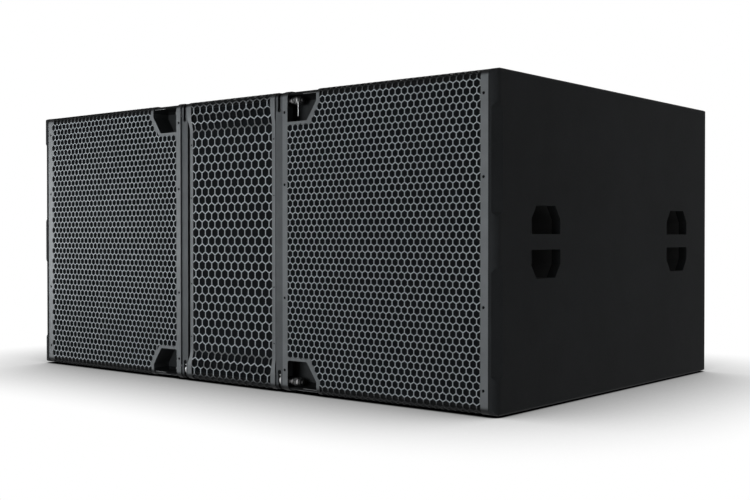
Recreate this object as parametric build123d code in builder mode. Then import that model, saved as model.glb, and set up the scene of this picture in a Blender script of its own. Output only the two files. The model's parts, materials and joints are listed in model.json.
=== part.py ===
from build123d import *

import os
from math import cos, radians, sin

# Double driver line array bass cabinet, in millimetres.
# The origin is at the middle of the footprint, on the floor. X is the width, the front faces -Y.
# Each piece is written to parts/ as a STEP file. Left is -X and right is +X, seen from the front.

# ---------------------------------------------------------------- driving sizes
width, depth, height = 1320.0, 870.0, 597.0

# cabinet
skid_height = 4.0  # skids under the floor panel
proud = 1.0  # side panels and grille lips stand this far outside the top and floor panels
side_thick = 18.0
panel_thick = 15.0  # top and floor
wall_thick = 18.0  # the two walls beside the port
baffle_thick = 24.0
rear_thick = 18.0
brace_thick = 15.0
rear_recess = 2.0  # rear panels lie this far inside the cabinet's rear edge
edge_round = 12.0  # front and rear edges of a side panel's outer face
edge_break = 3.0  # top and bottom edges of that face
corner_round = 13.0  # the four corners of a side panel, seen from the side
panel_setback = 3.0  # top and floor panels start behind the grille sheet

# bevelled grips along the front edge of the side panels
bevel_back = 20.0
bevel_in = 12.0
bevel_near, bevel_far, bevel_ramp = 32.0, 250.0, 20.0  # heights from the middle, and the ramp at each end

# hand holes in the side panels
handle_setback = 160.0  # from the front and rear faces
handle_wide = 101.0
handle_high = 131.0
handle_bar = 28.0
handle_corner_y, handle_corner_z = 18.0, 25.0
cup_depth, cup_wall, cup_margin = 45.0, 2.5, 3.0

# rigging posts
post_inner = 132.5
post_wide = 19.5
post_depth = 50.0
post_setback = 3.0
slot_wide = 7.0
slot_reach = 35.0  # the open ends of the front slot, from the end of the post
slot_end_hole = 9.0
web_thick = 4.0  # metal in front of the link channel
post_nose_round = 11.0  # rounded ends of the outer face

# quick release pins and link plates
pin_dia = 10.0
pin_setback = 22.0  # pin axis behind the front or rear face
pin_drop = 17.75  # pin axes inside the cabinet's top and bottom edges
pin_play = 0.08  # radial, in the post
pin_tip_short = 0.5  # tip inside the post's inner cheek
pin_travel = 22.0
pin_collar_dia, pin_collar_long = 15.0, 12.0
pin_neck_dia, pin_neck_long = 10.0, 3.0
pin_grip_dia, pin_grip_long = 18.0, 12.0
pin_cap_dia, pin_cap_long = 15.0, 6.0
pin_stand_off = 1.5  # collar to post
pin_point = 1.2  # chamfer at the tip
button_dia, button_long, button_proud, button_travel = 8.0, 10.0, 4.0, 3.0
button_round = 1.2
button_play = 0.1
button_floor = 0.5  # space left under the button when it is pressed
link_thick = 6.0
link_wide = 28.0
link_side_play = 0.5
link_pin_play = 0.3

# grilles
grille_inset = 0.5  # grille faces behind the side panels' front edge
sheet = 1.5
grille_bend = 14.0
lip_long = 31.0
grille_gap = 0.2  # between a side grille and the side panel
flange_gap = 1.5  # between a side grille and the post
centre_gap = 5.5  # between the centre grille and the posts
centre_recess = 5.0
centre_end = 59.0  # from the cabinet's top or bottom edge to the recessed flat
centre_ramp = 26.0
centre_bend = 30.0
centre_ear_gap = 0.7  # the ends of the centre grille come forward, and widen to this far from the posts
centre_ear_from = 8.0  # from the recessed flat to where the ends start to widen
foam_thick = 6.0
foam_gap = 0.5
rail_wide, rail_deep = 13.0, 15.0
outer_rail_wide = 20.0
rail_pin_clear = 12.0  # inner rails end this far short of the pin axes
screw_dia, screw_head_dia, screw_head_deep, screw_long = 5.0, 9.0, 1.4, 14.0
screw_taper = 36.0  # half angle of the countersink, in degrees
screw_key = 1.75  # radius of the hexagon socket
screw_inset = 9.8  # from the outer edge of a side grille
inner_screw_inset = 5.5  # from the inner edge of a side grille
centre_screw_inset = 3.0
screw_drops = (185.0, 42.0)  # from the cabinet's top and bottom edges
centre_screw_drops = (205.0, 92.0)

# hand pockets beside the posts
pocket_rim = 16.0  # strip of the grille between the post and a pocket
pocket_wide = 74.5
pocket_foot_wide = 49.5  # at the pocket's inner end, where its slanted side starts
pocket_tall = 61.5  # from the cabinet's top or bottom edge
pocket_straight = 25.0  # upright part of the outer side
pocket_round = 4.5
pocket_deep = 43.0
liner_wall = 2.0
pocket_skin = 6.0  # what is left of the top and floor panels over a pocket, clear of the pins

# drivers
driver_gap = 3.5  # between a driver's flange and the walls of its chamber
driver_bolt_inset = 9.5
driver_bolts = 8
flange_thick, flange_wide = 12.0, 24.5
barrel_clear = 2.0  # radial, in the baffle's hole
barrel_wall = 7.0
basket_wall = 5.0
basket_waist_deep = 30.0  # straight barrel behind the flange
basket_deep = 137.0  # flange's back face to the motor
basket_windows, window_wide = 8, 48.0
motor_dia = 224.0
motor_rim = 6.0  # the basket's seat stands this far outside the motor
motor_top, motor_magnet, motor_back = 14.0, 50.0, 16.0
pole_dia, vent_dia = 100.0, 30.0
coil_clear, coil_thick, gap_clear = 1.0, 2.5, 1.5  # from the pole outwards, across the magnet's gap
coil_tail = 20.0  # from the coil's end to the back plate
cone_thick = 2.0
cone_rise = 3.0  # cone's rim in front of the flange
cone_deep = 98.0
cap_dia, cap_rise, cap_vent = 124.0, 22.0, 4.0
cap_bulge = (0.55, 0.72)  # a point of the dome, as shares of its radius and rise
surround_wide, surround_thick = 35.0, 1.5
soft_gap = 0.3
spider_thick, spider_deep = 1.2, 107.0
spider_wave, spider_waves = 2.5, 5
shelf_thick, shelf_wide = 3.0, 16.0
surround_lip = 8.0
magnet_step = 5.0
driver_screw_dia, driver_head_dia, driver_head_tall = 8.0, 13.0, 8.0
driver_key, driver_key_deep = 3.25, 4.0

# connector dish at the back
dish_wide, dish_high, dish_deep = 190.0, 120.0, 32.0
dish_flange, dish_sheet, dish_corner = 14.0, 2.0, 10.0
socket_pitch, socket_plate, socket_plate_thick = 40.0, 31.0, 3.0
socket_dia, socket_bore, socket_proud, socket_behind = 25.0, 17.0, 8.0, 24.0
socket_groove = 2.0  # half the width of the ring shaped gap that takes the plug
socket_count = 4
wire_dia = 7.0
wire_bend = 40.0

# openings inside the cabinet
wall_window_long, wall_window_high, wall_window_round = 170.0, 360.0, 13.0
wall_window_gap = 60.0  # from the rear panels
brace_gap = 45.0  # from a brace to the window
brace_border = 76.0

# skids
skid_wide, skid_end_gap, skid_inset = 60.0, 45.0, 50.0
skid_round = 2.5

# ---------------------------------------------------------------- worked out sizes
front = -depth / 2
rear = depth / 2
shell_low = skid_height - proud
middle = (shell_low + height) / 2
half_height = (height - shell_low) / 2
floor_low = skid_height
floor_high = floor_low + panel_thick
roof_high = height - proud
roof_low = roof_high - panel_thick
inner_half = width / 2 - side_thick
panel_nose_round = grille_bend - proud  # front and rear edges of the top and floor panels
post_outer = post_inner + post_wide
post_middle = post_inner + post_wide / 2
wall_inner = post_inner - wall_thick
centre_half = post_inner - centre_gap
centre_ear_half = post_inner - centre_ear_gap
centre_flat_half = half_height - centre_end
flange_inner = post_outer + flange_gap
pocket_inner = flange_inner + pocket_rim
pocket_foot = pocket_inner + pocket_foot_wide
pocket_outer = pocket_inner + pocket_wide
pin_high = height - pin_drop
pin_low = shell_low + pin_drop
pin_tip = post_inner + pin_tip_short
pin_collar_start = post_outer + pin_stand_off
pin_head_end = pin_collar_start + pin_collar_long + pin_neck_long + pin_grip_long + pin_cap_long
channel_from = post_setback + web_thick
link_setback = channel_from + link_side_play
channel_to = link_setback + link_wide + link_side_play
link_travel = roof_high + pin_low - pin_high  # pin to pin across two stacked cabinets
grille_back = grille_inset + sheet
baffle_setback = pocket_deep + liner_wall
rear_face = depth - rear_recess
rear_inside = rear_face - rear_thick
wall_window_from = rear_inside - wall_window_gap - wall_window_long
brace_setback = wall_window_from - brace_gap - brace_thick
driver_centre = (post_outer + inner_half) / 2
driver_dia = inner_half - post_outer - 2 * driver_gap
driver_bolt_circle = driver_dia - 2 * driver_bolt_inset
basket_barrel = driver_dia - 2 * flange_wide
basket_inner = basket_barrel - 2 * barrel_wall
basket_back_dia = motor_dia + 2 * motor_rim
cone_dia = basket_inner - 2 * surround_wide
coil_inner = pole_dia + 2 * coil_clear
coil_outer = coil_inner + 2 * coil_thick
gap_dia = coil_outer + 2 * gap_clear
flange_front = baffle_setback - flange_thick
waist_setback = baffle_setback + basket_waist_deep
motor_setback = baffle_setback + basket_deep
seat_setback = motor_setback - basket_wall
spider_setback = baffle_setback + spider_deep
shelf_setback = spider_setback + spider_wave + spider_thick + soft_gap
magnet_setback = motor_setback + motor_top
yoke_setback = magnet_setback + motor_magnet
motor_end = yoke_setback + motor_back

os.makedirs("parts", exist_ok=True)


def keep(piece, name):
    """Label the finished piece and write it as a node."""
    piece.part.label = name
    export_step(piece.part, f"parts/{name}.step")


def behind(setback, end=-1):
    """Y of a point this far inside the front face (end -1) or the rear face (end 1)."""
    return end * (depth / 2 - setback)


def block(xs, ys, zs, mode=Mode.ADD):
    """A box between two values on each axis."""
    centre = [(a + b) / 2 for a, b in (xs, ys, zs)]
    with Locations(tuple(centre)):
        Box(abs(xs[1] - xs[0]), abs(ys[1] - ys[0]), abs(zs[1] - zs[0]), mode=mode)


def rod(start, along, radius, long, mode=Mode.ADD):
    """A round bar from a start point along a direction."""
    with BuildSketch(Plane(origin=start, z_dir=along)) as section:
        Circle(radius)
    extrude(section.sketch, amount=long, mode=mode)


SIDES = ((-1, "left"), (1, "right"))
ENDS = ((-1, "front"), (1, "rear"))
LEVELS = ((-1, "bottom"), (1, "top"))


# ---------------------------------------------------------------- cabinet
def handle_outline(grow=0.0):
    """Eight sided outline of a hand hole, about its own middle, in the plane of the side panel."""
    half_y, half_z = handle_wide / 2 + grow, handle_high / 2 + grow
    cut_y, cut_z = handle_corner_y + grow / 2, handle_corner_z + grow / 2
    corners = [
        (half_y, half_z - cut_z),
        (half_y - cut_y, half_z),
        (-half_y + cut_y, half_z),
        (-half_y, half_z - cut_z),
    ]
    corners += [(y, -z) for y, z in reversed(corners)]
    Polygon(*corners, align=None)


def handle_places():
    return [(behind(handle_setback, end), middle) for end, _ in ENDS]


def bevel_cutter(side, level):
    """The wedge that leaves one bevelled grip on a side panel's front edge, with a ramp at each end."""
    outside = 3.0
    thin = 0.05  # share of the full bevel at the outer ends of its ramps
    run = bevel_back + outside
    fall = run * bevel_in / bevel_back + outside
    heights = (bevel_near, bevel_near + bevel_ramp, bevel_far - bevel_ramp, bevel_far)
    with BuildPart() as cutter:
        for tall, share in zip(heights, (thin, 1, 1, thin)):
            corner = Plane(origin=(side * (width / 2 + outside), front - outside, middle + level * tall))
            with BuildSketch(corner):
                with BuildLine():
                    Polyline((0, 0), (-side * fall * share, 0), (0, (run + outside) * share), close=True)
                make_face()
        loft(ruled=True)
    return cutter.part


def side_panel(side, name):
    cutters = [bevel_cutter(side, level) for level, _ in LEVELS]
    with BuildPart() as panel:
        with BuildSketch(Plane.XY.offset(shell_low)) as plan:
            with Locations((side * (inner_half + side_thick / 2), 0)):
                Rectangle(side_thick, depth)
            fillet(plan.vertices().group_by(Axis.X)[-1 if side > 0 else 0], edge_round)
        extrude(amount=height - shell_low)
        with BuildSketch(Plane.YZ.offset(side * inner_half)):
            with Locations((0, middle)):
                RectangleRounded(depth, height - shell_low, corner_round)
        extrude(amount=side * side_thick, mode=Mode.INTERSECT)
        for level, _ in LEVELS:
            edge = middle + level * half_height
            with BuildSketch(Plane.XZ.offset(-front)):
                Polygon(
                    (side * width / 2, edge),
                    (side * (width / 2 - edge_break), edge),
                    (side * width / 2, edge - level * edge_break),
                    align=None,
                )
            extrude(amount=-depth, mode=Mode.SUBTRACT)
        with BuildSketch(Plane.YZ.offset(side * inner_half)):
            with Locations(*handle_places()):
                handle_outline()
            with Locations(*handle_places()):
                Rectangle(handle_wide, handle_bar, mode=Mode.SUBTRACT)
        extrude(amount=side * side_thick, mode=Mode.SUBTRACT)
        for cutter in cutters:
            add(cutter, mode=Mode.SUBTRACT)
    keep(panel, f"side_panel_{name}")


def handle_cups(side, name):
    with BuildPart() as cups:
        with BuildSketch(Plane.YZ.offset(side * inner_half)):
            with Locations(*handle_places()):
                handle_outline(cup_margin)
        extrude(amount=-side * cup_depth)
        with BuildSketch(Plane.YZ.offset(side * inner_half)):
            with Locations(*handle_places()):
                handle_outline(cup_margin - cup_wall)
        extrude(amount=-side * (cup_depth - cup_wall), mode=Mode.SUBTRACT)
    keep(cups, f"handle_cups_{name}")


def level_panel(level, name):
    """Top or floor panel, notched for the posts, stepped for the lips and thinned over the pockets."""
    inner, outer = (roof_low, roof_high) if level > 0 else (floor_high, floor_low)
    low, high = sorted((inner, outer))
    step = outer - level * (sheet - proud)
    across = (-inner_half, inner_half)
    with BuildPart() as panel:
        block(across, (behind(panel_setback), rear), (low, high))
        block(across, (front, behind(grille_inset + lip_long)), (step, outer), Mode.SUBTRACT)
        nose = panel.edges().filter_by(Axis.X).group_by(Axis.Y)[0].sort_by(Axis.Z)
        fillet(nose[-1 if level > 0 else 0], panel_nose_round)
        tail = panel.edges().filter_by(Axis.X).group_by(Axis.Y)[-1].sort_by(Axis.Z)
        fillet(tail[-1 if level > 0 else 0], panel_nose_round)
        for side, _ in SIDES:
            for end, _ in ENDS:
                notch_ys = (behind(0, end), behind(post_setback + post_depth, end))
                block((side * post_inner, side * post_outer), notch_ys, (low, high), Mode.SUBTRACT)
                rebate_ys = (behind(0, end), behind(pocket_deep, end))
                rebate_zs = (inner, outer - level * pocket_skin)
                block((side * post_outer, side * pocket_outer), rebate_ys, rebate_zs, Mode.SUBTRACT)
    keep(panel, name)


def rear_panels():
    """Three panels between the rear posts, with hand pockets and the opening for the connector dish."""
    ys = (behind(rear_inside), behind(rear_face))
    with BuildPart() as panels:
        block((-post_inner, post_inner), ys, (floor_high, roof_low))
        block(
            (-dish_wide / 2, dish_wide / 2),
            ys,
            (middle - dish_high / 2, middle + dish_high / 2),
            Mode.SUBTRACT,
        )
        for side, _ in SIDES:
            block((side * post_outer, side * inner_half), ys, (floor_high, roof_low))
            for level, _ in LEVELS:
                with BuildSketch(Plane.XZ.offset(-ys[0])):
                    pocket_outline(side, level, post_outer, liner_wall)
                extrude(amount=-rear_thick, mode=Mode.SUBTRACT)
    keep(panels, "rear_panels")


def port_wall(side, name):
    """Upright wall beside the port. It carries the posts, and its window joins the chambers to the port."""
    with BuildPart() as wall:
        block(
            (side * wall_inner, side * post_inner),
            (behind(grille_back + centre_recess), behind(rear_inside)),
            (floor_high, roof_low),
        )
        with BuildSketch(Plane.YZ.offset(side * wall_inner)):
            with Locations((behind(wall_window_from + wall_window_long / 2), middle)):
                RectangleRounded(wall_window_long, wall_window_high, wall_window_round)
        extrude(amount=side * wall_thick, mode=Mode.SUBTRACT)
        for x, z in centre_screw_places():
            if x * side > 0:
                mouth = (x, behind(grille_inset + centre_recess), z)
                rod(mouth, (0, 1, 0), screw_dia / 2, screw_long, Mode.SUBTRACT)
    keep(wall, f"port_wall_{name}")


def baffle(side, name):
    ys = (behind(baffle_setback), behind(baffle_setback + baffle_thick))
    with BuildPart() as board:
        block((side * post_outer, side * inner_half), ys, (floor_high, roof_low))
        hole = (side * driver_centre, ys[0], middle)
        rod(hole, (0, 1, 0), basket_barrel / 2 + barrel_clear, baffle_thick, Mode.SUBTRACT)
        for place in driver_bolt_places(side):
            rod((place[0], ys[0], place[1]), (0, 1, 0), driver_screw_dia / 2, baffle_thick, Mode.SUBTRACT)
    keep(board, f"baffle_{name}")


def brace_frames():
    """A windowed frame across each chamber, behind the drivers."""
    with BuildPart() as frames:
        for side, _ in SIDES:
            xs = (side * post_inner, side * inner_half)
            ys = (behind(brace_setback), behind(brace_setback + brace_thick))
            block(xs, ys, (floor_high, roof_low))
            block(
                (xs[0] + side * brace_border, xs[1] - side * brace_border),
                ys,
                (floor_high + brace_border, roof_low - brace_border),
                Mode.SUBTRACT,
            )
    keep(frames, "brace_frames")


def skids():
    long = depth - 2 * skid_end_gap
    outer_x = inner_half - skid_inset - skid_wide / 2
    inner_x = post_outer + skid_inset + skid_wide / 2
    with BuildPart() as runners:
        with BuildSketch():
            with Locations(*[(side * x, 0) for side in (-1, 1) for x in (inner_x, outer_x)]):
                SlotOverall(long, skid_wide, rotation=90)
        extrude(amount=skid_height)
        fillet(runners.edges().group_by(Axis.Z)[0], skid_round)
    keep(runners, "skids")


# ---------------------------------------------------------------- grilles
def pocket_outline(side, level, inner, grow=0.0, spare=panel_thick):
    """Outline of a hand pocket in X and Z, from an inner X to its slanted side, and spare past the edge."""
    edge = height if level > 0 else shell_low
    foot = edge - level * (pocket_tall + grow)
    shoulder = edge - level * pocket_straight
    points = [
        (side * inner, edge + level * spare),
        (side * inner, foot),
        (side * (pocket_foot + grow), foot),
        (side * (pocket_outer + grow), shoulder),
        (side * (pocket_outer + grow), edge + level * spare),
    ]
    Polygon(*points, align=None)


def folded_sheet(xs, points, rounds):
    """A sheet folded along an outline of (setback, height) points, with lips at its top and bottom."""
    back = grille_inset + lip_long
    spare = 4 * sheet
    with BuildSketch(Plane.YZ.offset(xs[0])) as profile:
        with BuildLine():
            outer = [(behind(back + spare), height), *points, (behind(back + spare), shell_low)]
            Polyline(*outer, close=True)
        make_face()
        for (y, z), radius in zip(points, rounds):
            fillet(profile.vertices().sort_by_distance((y, z, 0))[0], radius)
        offset(amount=-sheet, mode=Mode.SUBTRACT)
        with Locations((behind(back + spare / 2), middle)):
            Rectangle(spare, 2 * height, mode=Mode.SUBTRACT)
    extrude(profile.sketch, amount=xs[1] - xs[0])


def screw_places(side):
    """Screws of one side grille, as X and Z."""
    columns = (side * (inner_half - screw_inset), side * (flange_inner + inner_screw_inset))
    heights = [middle + level * (half_height - drop) for level in (-1, 1) for drop in screw_drops]
    return [(x, z) for x in columns for z in heights]


def centre_screw_places():
    """Screws of the centre grille, as X and Z. They lie in its recessed flat."""
    column = centre_half - centre_screw_inset
    heights = [middle + level * (half_height - drop) for level in (-1, 1) for drop in centre_screw_drops]
    return [(x, z) for x in (-column, column) for z in heights]


def screw_sockets(places, setback):
    """Countersunk holes through a grille sheet."""
    for x, z in places:
        with BuildSketch(Plane(origin=(x, behind(setback), z), z_dir=(0, -1, 0))) as head:
            Circle(screw_head_dia / 2)
        extrude(head.sketch, amount=-screw_head_deep, taper=screw_taper, mode=Mode.SUBTRACT)
        rod((x, behind(setback), z), (0, 1, 0), screw_dia / 2, sheet, Mode.SUBTRACT)


def side_grille(side, name):
    xs = sorted((side * flange_inner, side * (inner_half - grille_gap)))
    corners = [(behind(grille_inset), height), (behind(grille_inset), shell_low)]
    with BuildPart() as grille:
        folded_sheet(xs, corners, (grille_bend, grille_bend))
        for level, _ in LEVELS:
            with BuildSketch(Plane.XZ.offset(-front)) as cut:
                pocket_outline(side, level, pocket_inner)
                fillet(cut.vertices().filter_by(lambda v: abs(v.Y - middle) < half_height), pocket_round)
            extrude(amount=-2 * lip_long, mode=Mode.SUBTRACT)
        screw_sockets(screw_places(side), grille_inset)
    keep(grille, f"grille_{name}")


def centre_grille():
    face, flat = behind(grille_inset), behind(grille_inset + centre_recess)
    bend_z = centre_flat_half + centre_ramp
    points = [
        (face, height),
        (face, middle + bend_z),
        (flat, middle + centre_flat_half),
        (flat, middle - centre_flat_half),
        (face, middle - bend_z),
        (face, shell_low),
    ]
    rounds = (grille_bend, *[centre_bend] * 4, grille_bend)
    ear_from = centre_flat_half + centre_ear_from
    with BuildPart() as grille:
        folded_sheet((-centre_ear_half, centre_ear_half), points, rounds)
        with BuildSketch(Plane.XZ.offset(-front)):
            for side, _ in SIDES:
                waist = [
                    (centre_ear_half + sheet, middle + bend_z),
                    (centre_ear_half, middle + bend_z),
                    (centre_half, middle + ear_from),
                    (centre_half, middle - ear_from),
                    (centre_ear_half, middle - bend_z),
                    (centre_ear_half + sheet, middle - bend_z),
                ]
                Polygon(*[(side * x, z) for x, z in waist], align=None)
        extrude(amount=-2 * lip_long, mode=Mode.SUBTRACT)
        screw_sockets(centre_screw_places(), grille_inset + centre_recess)
    keep(grille, "grille_center")


def side_foam(side, name):
    """Acoustic foam behind a side grille, cut back around the hand pockets."""
    inner = post_outer + rail_wide + foam_gap
    outer = inner_half - outer_rail_wide - foam_gap
    with BuildPart() as foam:
        block(
            (side * inner, side * outer),
            (behind(grille_back), behind(grille_back + foam_thick)),
            (floor_high + foam_gap, roof_low - foam_gap),
        )
        for level, _ in LEVELS:
            with BuildSketch(Plane.XZ.offset(-front)):
                pocket_outline(side, level, post_outer, liner_wall + foam_gap)
            extrude(amount=-pocket_deep, mode=Mode.SUBTRACT)
    keep(foam, f"foam_{name}")


def centre_foam():
    half = wall_inner - foam_gap
    start = grille_back + centre_recess
    with BuildPart() as foam:
        block(
            (-half, half),
            (behind(start), behind(start + foam_thick)),
            (floor_high + foam_gap, roof_low - foam_gap),
        )
    keep(foam, "foam_center")


def grille_rails():
    """Battens behind the long edges of the side grilles: on the posts and on the side panels."""
    ys = (behind(grille_back), behind(grille_back + rail_deep))
    with BuildPart() as rails:
        for side, _ in SIDES:
            block(
                (side * post_outer, side * (post_outer + rail_wide)),
                ys,
                (pin_low + rail_pin_clear, pin_high - rail_pin_clear),
            )
            block((side * (inner_half - outer_rail_wide), side * inner_half), ys, (floor_high, roof_low))
            for x, z in screw_places(side):
                rod((x, ys[0], z), (0, 1, 0), screw_dia / 2, rail_deep, Mode.SUBTRACT)
    keep(rails, "grille_rails")


def grille_screws():
    """Countersunk screws with a hexagon socket."""
    places = [(x, z, grille_inset) for side, _ in SIDES for x, z in screw_places(side)]
    places += [(x, z, grille_inset + centre_recess) for x, z in centre_screw_places()]
    with BuildPart() as screws:
        for x, z, setback in places:
            with BuildSketch(Plane(origin=(x, behind(setback), z), z_dir=(0, -1, 0))):
                Circle(screw_head_dia / 2)
            extrude(amount=-screw_head_deep, taper=screw_taper)
            rod((x, behind(setback), z), (0, 1, 0), screw_dia / 2, screw_long)
            with BuildSketch(Plane(origin=(x, behind(setback), z), z_dir=(0, -1, 0))):
                RegularPolygon(screw_key, 6)
            extrude(amount=-2 * screw_head_deep, mode=Mode.SUBTRACT)
    keep(screws, "grille_screws")


# ---------------------------------------------------------------- hand pockets
def pocket_liners():
    """Trays that line the hand pockets, front and rear. Each is open to the post, so the pin can pass."""
    with BuildPart() as liners:
        for side, _ in SIDES:
            for end, _ in ENDS:
                mouth = Plane.XZ.offset(-behind(grille_back, end))
                for level, _ in LEVELS:
                    with BuildSketch(mouth):
                        pocket_outline(side, level, post_outer, liner_wall, -panel_thick - proud)
                    extrude(amount=end * (baffle_setback - grille_back))
                for level, _ in LEVELS:
                    with BuildSketch(mouth):
                        pocket_outline(side, level, post_outer - liner_wall)
                    extrude(amount=end * (pocket_deep - grille_back), mode=Mode.SUBTRACT)
            block(
                (side * post_outer, side * (post_outer + rail_wide)),
                (behind(grille_back), behind(grille_back + rail_deep)),
                (floor_low, roof_high),
                Mode.SUBTRACT,
            )
    keep(liners, "pocket_liners")


# ---------------------------------------------------------------- rigging
def post(side, side_name, end, end_name):
    """Slotted steel post. The link plate runs in its channel, and the pins cross it near both ends."""
    xs = (side * post_inner, side * post_outer)
    slot_xs = (side * (post_middle - slot_wide / 2), side * (post_middle + slot_wide / 2))
    with BuildPart() as bar:
        ys = (behind(post_setback, end), behind(post_setback + post_depth, end))
        block(xs, ys, (floor_low, roof_high))
        face_edges = bar.edges().filter_by(Axis.X).group_by(Axis.Y)[0 if end < 0 else -1]
        fillet(face_edges, post_nose_round)
        channel_ys = (behind(channel_from, end), behind(channel_to, end))
        block(slot_xs, channel_ys, (floor_low, roof_high), Mode.SUBTRACT)
        for level, _ in LEVELS:
            edge = roof_high if level > 0 else floor_low
            stop = edge - level * slot_reach
            block(slot_xs, (behind(0, end), behind(channel_from, end)), (stop, edge), Mode.SUBTRACT)
            eye = (side * post_middle, behind(0, end), stop)
            rod(eye, (0, -end, 0), slot_end_hole / 2, channel_from, Mode.SUBTRACT)
        for pin_z in (pin_low, pin_high):
            hole = (xs[0], behind(pin_setback, end), pin_z)
            rod(hole, (side, 0, 0), pin_dia / 2 + pin_play, post_wide, Mode.SUBTRACT)
    keep(bar, f"{end_name}_post_{side_name}")


def link(side, side_name, end, end_name):
    """Link plate with one long eye. It is lifted until the eye takes the floor pin of the cabinet above."""
    eye_half = pin_dia / 2 + link_pin_play
    axis_y = behind(pin_setback, end)
    low_x = side * post_middle - link_thick / 2
    eye_middle = pin_high - link_travel / 2
    with BuildPart() as plate:
        with BuildSketch(Plane.YZ.offset(low_x)):
            with Locations((axis_y, eye_middle)):
                SlotCenterToCenter(link_travel, link_wide, rotation=90)
                SlotCenterToCenter(link_travel, 2 * eye_half, rotation=90, mode=Mode.SUBTRACT)
        extrude(amount=link_thick)
    keep(plate, f"{end_name}_link_{side_name}")


def pin(side, side_name, end, end_name, pin_z, level_name):
    """Quick release pin: shaft, collar, neck, grip and black cap, bored for its button."""
    steps = [
        (pin_dia, pin_collar_start - pin_tip),
        (pin_collar_dia, pin_collar_long),
        (pin_neck_dia, pin_neck_long),
        (pin_grip_dia, pin_grip_long),
        (pin_cap_dia, pin_cap_long),
    ]
    y = behind(pin_setback, end)
    reach = pin_tip
    bore_long = button_long - button_proud + button_travel + button_floor
    mouth = (side * pin_head_end, y, pin_z)
    with BuildPart() as body:
        for dia, long in steps:
            rod((side * reach, y, pin_z), (side, 0, 0), dia / 2, long)
            reach += long
        rod(mouth, (-side, 0, 0), button_dia / 2 + button_play, bore_long, Mode.SUBTRACT)
        chamfer(body.edges().sort_by(Axis.X)[0 if side > 0 else -1], pin_point)
    keep(body, f"{end_name}_{level_name}_pin_{side_name}")
    with BuildPart() as button:
        start = (mouth[0] + side * button_proud, y, pin_z)
        rod(start, (-side, 0, 0), button_dia / 2, button_long)
        fillet(button.edges().sort_by(Axis.X)[-1 if side > 0 else 0], button_round)
    keep(button, f"{end_name}_{level_name}_button_{side_name}")


# ---------------------------------------------------------------- drivers
def driver_plane(side):
    """Sketch plane through a driver's axis: local x is the radius, local y the distance from the front."""
    return Plane(origin=(side * driver_centre, front, middle), x_dir=(1, 0, 0), z_dir=(0, 0, 1))


def driver_axis(side):
    return Axis((side * driver_centre, front, middle), (0, 1, 0))


def driver_bolt_places(side):
    """Driver screws as X and Z."""
    turn = 360 / driver_bolts
    angles = [radians(turn * (i + 0.5)) for i in range(driver_bolts)]
    radius = driver_bolt_circle / 2
    return [(side * driver_centre + radius * cos(a), middle + radius * sin(a)) for a in angles]


def ring(side, points):
    """Turn a closed outline of (radius, setback) points about a driver's axis."""
    with BuildSketch(driver_plane(side)) as section:
        with BuildLine():
            Polyline(*points, close=True)
        make_face()
    revolve(section.sketch, axis=driver_axis(side))


def waist_outer(setback):
    """Outer radius of the basket's tapered part at a distance behind the front."""
    share = (setback - waist_setback) / (motor_setback - waist_setback)
    return basket_barrel / 2 + share * (basket_back_dia - basket_barrel) / 2


def waist_inner(setback):
    """Inner radius of the basket's tapered part at a distance behind the front."""
    share = (setback - waist_setback) / (seat_setback - waist_setback)
    return basket_barrel / 2 - basket_wall + share * (basket_back_dia - basket_barrel) / 2


def driver_basket(side, name):
    """Cast frame: mounting flange, barrel, windowed taper, spider shelf and motor seat."""
    barrel, back = basket_barrel / 2, basket_back_dia / 2
    with BuildPart() as basket:
        ring(
            side,
            [
                (basket_inner / 2, flange_front),
                (driver_dia / 2, flange_front),
                (driver_dia / 2, baffle_setback),
                (barrel, baffle_setback),
                (barrel, waist_setback),
                (back, motor_setback),
                (gap_dia / 2, motor_setback),
                (gap_dia / 2, seat_setback),
                (back - basket_wall, seat_setback),
                (barrel - basket_wall, waist_setback),
                (basket_inner / 2, baffle_setback),
            ],
        )
        window_outer, window_inner = barrel - 3 * basket_wall, waist_outer(shelf_setback) + basket_wall
        mouth = Plane(origin=(side * driver_centre, behind(waist_setback), middle), z_dir=(0, 1, 0))
        with BuildSketch(mouth) as windows:
            with PolarLocations((window_outer + window_inner) / 2, basket_windows):
                Rectangle(window_outer - window_inner, window_wide)
        extrude(windows.sketch, amount=shelf_setback - waist_setback, mode=Mode.SUBTRACT)
        shelf_outer = waist_inner(shelf_setback) + basket_wall / 2
        ring(
            side,
            [
                (waist_inner(shelf_setback) - shelf_wide, shelf_setback),
                (shelf_outer, shelf_setback),
                (shelf_outer - shelf_thick, shelf_setback + shelf_thick),
                (waist_inner(shelf_setback) - shelf_wide, shelf_setback + shelf_thick),
            ],
        )
        for x, z in driver_bolt_places(side):
            rod((x, behind(flange_front), z), (0, 1, 0), driver_screw_dia / 2, flange_thick, Mode.SUBTRACT)
    keep(basket, f"driver_basket_{name}")


def driver_motor(side, name):
    """Top plate, magnet ring, and back plate with its vented pole, glued into one unit."""
    radius, pole, gap, vent = motor_dia / 2, pole_dia / 2, gap_dia / 2, vent_dia / 2
    magnet_inner, magnet_outer = gap + magnet_step, radius - magnet_step
    with BuildPart() as motor:
        ring(
            side,
            [
                (vent, motor_setback),
                (pole, motor_setback),
                (pole, yoke_setback),
                (magnet_inner, yoke_setback),
                (magnet_inner, magnet_setback),
                (gap, magnet_setback),
                (gap, motor_setback),
                (radius, motor_setback),
                (radius, magnet_setback),
                (magnet_outer, magnet_setback),
                (magnet_outer, yoke_setback),
                (radius, yoke_setback),
                (radius, motor_end),
                (vent, motor_end),
            ],
        )
    keep(motor, f"driver_motor_{name}")


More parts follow.
